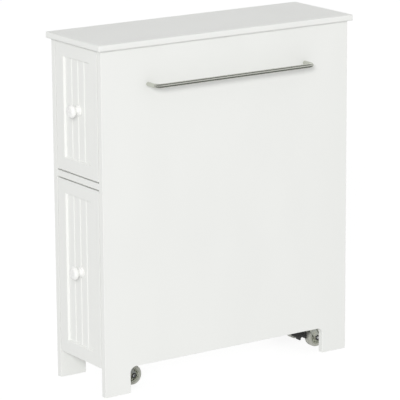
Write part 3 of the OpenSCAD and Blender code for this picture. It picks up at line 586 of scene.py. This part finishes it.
class CABINET_OT_boards(bpy.types.Operator):
    """Lacquer the carcass, the drawer fronts and the drawer boxes"""

    bl_idname = "cabinet.boards"
    bl_label = "Lacquer the boards"

    def execute(self, context):
        colours = context.scene.cabinet_colours
        sizes = context.scene.cabinet_sizes
        paint = white_lacquer("white_satin_lacquer", colours.lacquer, roughness=0.4)
        carcass = ("side_panel_left", "side_panel_right", "top_panel", "bottom_panel",
                   "middle_shelf", "back_panel")
        boxes = [f"{d}_{p}" for d in DRAWERS for p in ("side_left", "side_right", "back", "bottom")]
        dress(carcass, paint, sizes.board_edge)
        dress(boxes, paint, sizes.metal_edge)
        # The planks' grooves turn by less than a board's corners
        dress([f"{d}_front" for d in DRAWERS], paint, sizes.field_edge, facets=25)
        return {"FINISHED"}


class CABINET_OT_knobs(bpy.types.Operator):
    """Lacquer the turned knobs"""

    bl_idname = "cabinet.knobs"
    bl_label = "Lacquer the knobs"

    def execute(self, context):
        colours = context.scene.cabinet_colours
        paint = white_lacquer("white_knob_lacquer", colours.knob, roughness=0.26)
        dress([f"{d}_knob" for d in DRAWERS], paint)
        return {"FINISHED"}


class CABINET_OT_towel_bar(bpy.types.Operator):
    """Brush the towel bar"""

    bl_idname = "cabinet.towel_bar"
    bl_label = "Brush the towel bar"

    def execute(self, context):
        steel = brushed_stainless("brushed_stainless_rod", context.scene.cabinet_colours.bar)
        dress(["towel_bar"], steel)
        return {"FINISHED"}


class CABINET_OT_slides(bpy.types.Operator):
    """Plate the drawer slides and polish their balls"""

    bl_idname = "cabinet.slides"
    bl_label = "Finish the slides"

    def execute(self, context):
        colours = context.scene.cabinet_colours
        strip = rolled_zinc("rolled_zinc_strip", colours.slide)
        steel = polished_steel("ground_steel_balls", colours.steel)
        edge = context.scene.cabinet_sizes.metal_edge
        dress([f"{d}_{p}" for d in DRAWERS for p in ("slide_rails", "runners")], strip, edge)
        dress([f"{d}_ball_cages" for d in DRAWERS], steel)
        return {"FINISHED"}


class CABINET_OT_fittings(bpy.types.Operator):
    """Finish the cams, bolts, screws and dowels"""

    bl_idname = "cabinet.fittings"
    bl_label = "Finish the fittings"

    def execute(self, context):
        colours = context.scene.cabinet_colours
        plate = zinc_plate("zinc_plated_fittings", colours.zinc, roughness=0.42)
        dress(["cam_locks", "cam_bolts"], plate)
        for node in ("towel_bar_screws", "slide_screws", "caster_screws", "upper_fixings",
                     "lower_fixings"):
            make_screws(node, f"cross_head_{node}", plate)
        dress(["dowels"], beech_peg("turned_beech", colours.beech))
        return {"FINISHED"}


class CABINET_OT_casters(bpy.types.Operator):
    """Finish the casters' plates, forks, axles and brake pedals"""

    bl_idname = "cabinet.casters"
    bl_label = "Finish the casters"

    def execute(self, context):
        colours = context.scene.cabinet_colours
        sizes = context.scene.cabinet_sizes
        plate = zinc_plate("zinc_plated_pressing", colours.zinc, roughness=0.36)
        steel = polished_steel("bright_axle_steel", colours.steel)
        nylon = black_nylon("black_glass_filled_nylon", colours.nylon)
        for part in ("caster_plate", "caster_fork"):
            dress([f"{part}_{c}" for c in CORNERS], plate, sizes.metal_edge)
        dress([f"axle_{c}" for c in CORNERS] + ["swivel_balls"], steel)
        dress([f"axle_washers_{c}" for c in CORNERS], nylon)
        dress(["brake_pedal_rl", "brake_pedal_rr"], nylon, sizes.plastic_edge)
        return {"FINISHED"}


class CABINET_OT_wheels(bpy.types.Operator):
    """Finish the wheels' cores and treads"""

    bl_idname = "cabinet.wheels"
    bl_label = "Finish the wheels"

    def execute(self, context):
        colours = context.scene.cabinet_colours
        dress([f"tread_{c}" for c in CORNERS], soft_tread("pale_soft_tread", colours.tread))
        dress([f"wheel_core_{c}" for c in CORNERS], tinted_core("tinted_wheel_core", colours.core),
              context.scene.cabinet_sizes.plastic_edge)
        return {"FINISHED"}


class CABINET_OT_stage(bpy.types.Operator):
    """Lay the floor, light it softly and set the camera"""

    bl_idname = "cabinet.stage"
    bl_label = "Set the stage"

    def execute(self, context):
        stage = context.scene.cabinet_stage
        self.lay_floor(context, stage)
        self.light(context, stage)
        self.set_camera(context, stage)
        return {"FINISHED"}

    def lay_floor(self, context, stage):
        """A round, pale floor that fills the view."""
        disc = bmesh.new()
        bmesh.ops.create_circle(disc, cap_ends=True, segments=96, radius=FLOOR_RADIUS)
        data = bpy.data.meshes.new("floor")
        disc.to_mesh(data)
        disc.free()
        material = start(
            "pale_floor", linear("#808080"), Roughness=0.9, Specular_IOR_Level=0.0,
            Emission_Color=(1, 1, 1, 1), Emission_Strength=stage.floor_glow,
        )[0]
        data.materials.append(material)
        floor = bpy.data.objects.new("floor", data)
        context.scene.collection.objects.link(floor)
        floor.visible_diffuse = False
        floor.visible_glossy = False

    def light(self, context, stage):
        """A dim room that looks white to the camera, a soft key light, and weaker ones behind and
        on the left. Gloss sees none of the lights, but a pale wall on the bar's side of the room
        between a dark ceiling and floor."""
        world = bpy.data.worlds.new("room")
        world.use_nodes = True
        tree = world.node_tree
        tree.nodes.clear()
        way = add(tree, "ShaderNodeSeparateXYZ",
                  {"Vector": add(tree, "ShaderNodeTexCoord").outputs["Generated"]}).outputs

        def ramp(value, start, end, low, high):
            """A number that goes from low to high as value goes from start to end."""
            links = {"Value": value, "From Min": start, "From Max": end,
                     "To Min": low, "To Max": high}
            return add(tree, "ShaderNodeMapRange", links, clamp=True).outputs[0]

        def mix(factor, one, two):
            """A number between one and two."""
            return add(tree, "ShaderNodeMix", {"Factor": factor, "A": one, "B": two}).outputs[0]

        dim = ramp(way["Z"], *HORIZON, stage.ground, stage.sky)
        above_foot = ramp(way["Z"], *WALL_FOOT, 0, 1)
        below_top = ramp(way["Z"], *WALL_TOP, 1, 0)
        # One of the two is always 1, so their mean runs from 0.5 to 1 with the other
        wall = ramp(mix(0.5, above_foot, below_top), 0.5, 1, stage.dark, stage.wall)
        gloss = mix(ramp(way["X"], *WALL_SIDE, 0, 1), dim, wall)
        path = add(tree, "ShaderNodeLightPath").outputs
        strength = mix(path["Is Camera Ray"], mix(path["Is Glossy Ray"], dim, gloss), 1.0)
        sky = add(tree, "ShaderNodeBackground", {"Color": (1, 1, 1, 1), "Strength": strength})
        add(tree, "ShaderNodeOutputWorld", {"Surface": sky.outputs[0]})
        context.scene.world = world
        context.scene.view_settings.view_transform = "Standard"
        far, wide = FILL_FAR * stage.key_distance, FILL_WIDE * stage.key_spread
        self.softbox(context, "key", stage.key, stage.key_azimuth, stage.key_elevation,
                     stage.key_distance, stage.key_spread)
        self.softbox(context, "back", stage.back, stage.key_azimuth + 180, stage.key_elevation,
                     far, wide)
        self.softbox(context, "side", stage.side, stage.side_azimuth, 0, far, wide)

    def softbox(self, context, name, strength, azimuth, elevation, distance, width):
        """A round lamp that lights the cabinet's middle with the given strength and looks as wide
        from there as the angle width, in degrees."""
        light = bpy.data.lights.new(name, "AREA")
        light.shape = "DISK"
        light.size = 2 * distance * math.tan(math.radians(width / 2))
        light.energy = strength * math.pi * distance ** 2
        lamp = bpy.data.objects.new(name, light)
        way = direction(azimuth, elevation)
        lamp.rotation_euler = way.to_track_quat("Z", "Y").to_euler()
        lamp.location = (Vector(CAD_BOX[0]) + Vector(CAD_BOX[1])) / 2 + way * distance
        lamp.visible_glossy = False
        context.scene.collection.objects.link(lamp)

    def set_camera(self, context, stage):
        """The camera, looking at the middle of the side panels from the given way round."""
        low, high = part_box("side_panel_left")[0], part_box("side_panel_right")[1]
        target = (low + high) / 2
        back = direction(stage.azimuth, stage.elevation)
        around = math.radians(stage.azimuth)
        level = Vector((math.cos(around), math.sin(around), 0))
        upright = back.cross(level)
        tilt = math.radians(stage.roll)
        right = level * math.cos(tilt) + upright * math.sin(tilt)
        up = upright * math.cos(tilt) - level * math.sin(tilt)
        camera = bpy.data.objects.new("camera", bpy.data.cameras.new("camera"))
        context.scene.collection.objects.link(camera)
        spot = target + back * stage.distance - right * stage.aim_across - up * stage.aim_down
        camera.matrix_world = Matrix((
            (right.x, up.x, back.x, spot.x),
            (right.y, up.y, back.y, spot.y),
            (right.z, up.z, back.z, spot.z),
            (0, 0, 0, 1),
        ))
        camera.data.lens = stage.lens
        camera.data.sensor_width = SENSOR_WIDTH
        camera.data.clip_end = VIEW_END
        context.scene.camera = camera


def direction(azimuth, elevation):
    """Unit vector towards a viewer at this way round from the front and height, in degrees."""
    a, e = math.radians(azimuth), math.radians(elevation)
    return Vector((math.sin(a) * math.cos(e), -math.cos(a) * math.cos(e), math.sin(e)))


class CABINET_PT_panel(bpy.types.Panel):
    """The cabinet's steps and settings"""

    bl_idname = "CABINET_PT_panel"
    bl_label = "Slim rolling cabinet"
    bl_space_type = "VIEW_3D"
    bl_region_type = "UI"
    bl_category = "Cabinet"

    def draw(self, context):
        for operator in OPERATORS:
            self.layout.operator(operator.bl_idname)
        for name, group in GROUPS.items():
            settings = getattr(context.scene, name)
            box = self.layout.box()
            for prop in group.__annotations__:
                box.prop(settings, prop)


GROUPS = {
    "cabinet_colours": CabinetColours,
    "cabinet_sizes": CabinetSizes,
    "cabinet_stage": CabinetStage,
}
OPERATORS = (
    CABINET_OT_boards, CABINET_OT_knobs, CABINET_OT_towel_bar, CABINET_OT_slides,
    CABINET_OT_fittings, CABINET_OT_casters, CABINET_OT_wheels, CABINET_OT_stage,
)
CLASSES = (*GROUPS.values(), *OPERATORS, CABINET_PT_panel)


def register():
    """Registers the classes and hangs the settings on the scene."""
    for cls in CLASSES:
        bpy.utils.register_class(cls)
    for name, group in GROUPS.items():
        setattr(bpy.types.Scene, name, PointerProperty(type=group))


def unregister():
    """Takes the settings and classes away again."""
    for name in GROUPS:
        delattr(bpy.types.Scene, name)
    for cls in reversed(CLASSES):
        bpy.utils.unregister_class(cls)


def main():
    """Runs every step in order."""
    register()
    for operator in OPERATORS:
        getattr(bpy.ops.cabinet, operator.bl_idname.split(".")[1])()


if __name__ == "__main__":
    main()
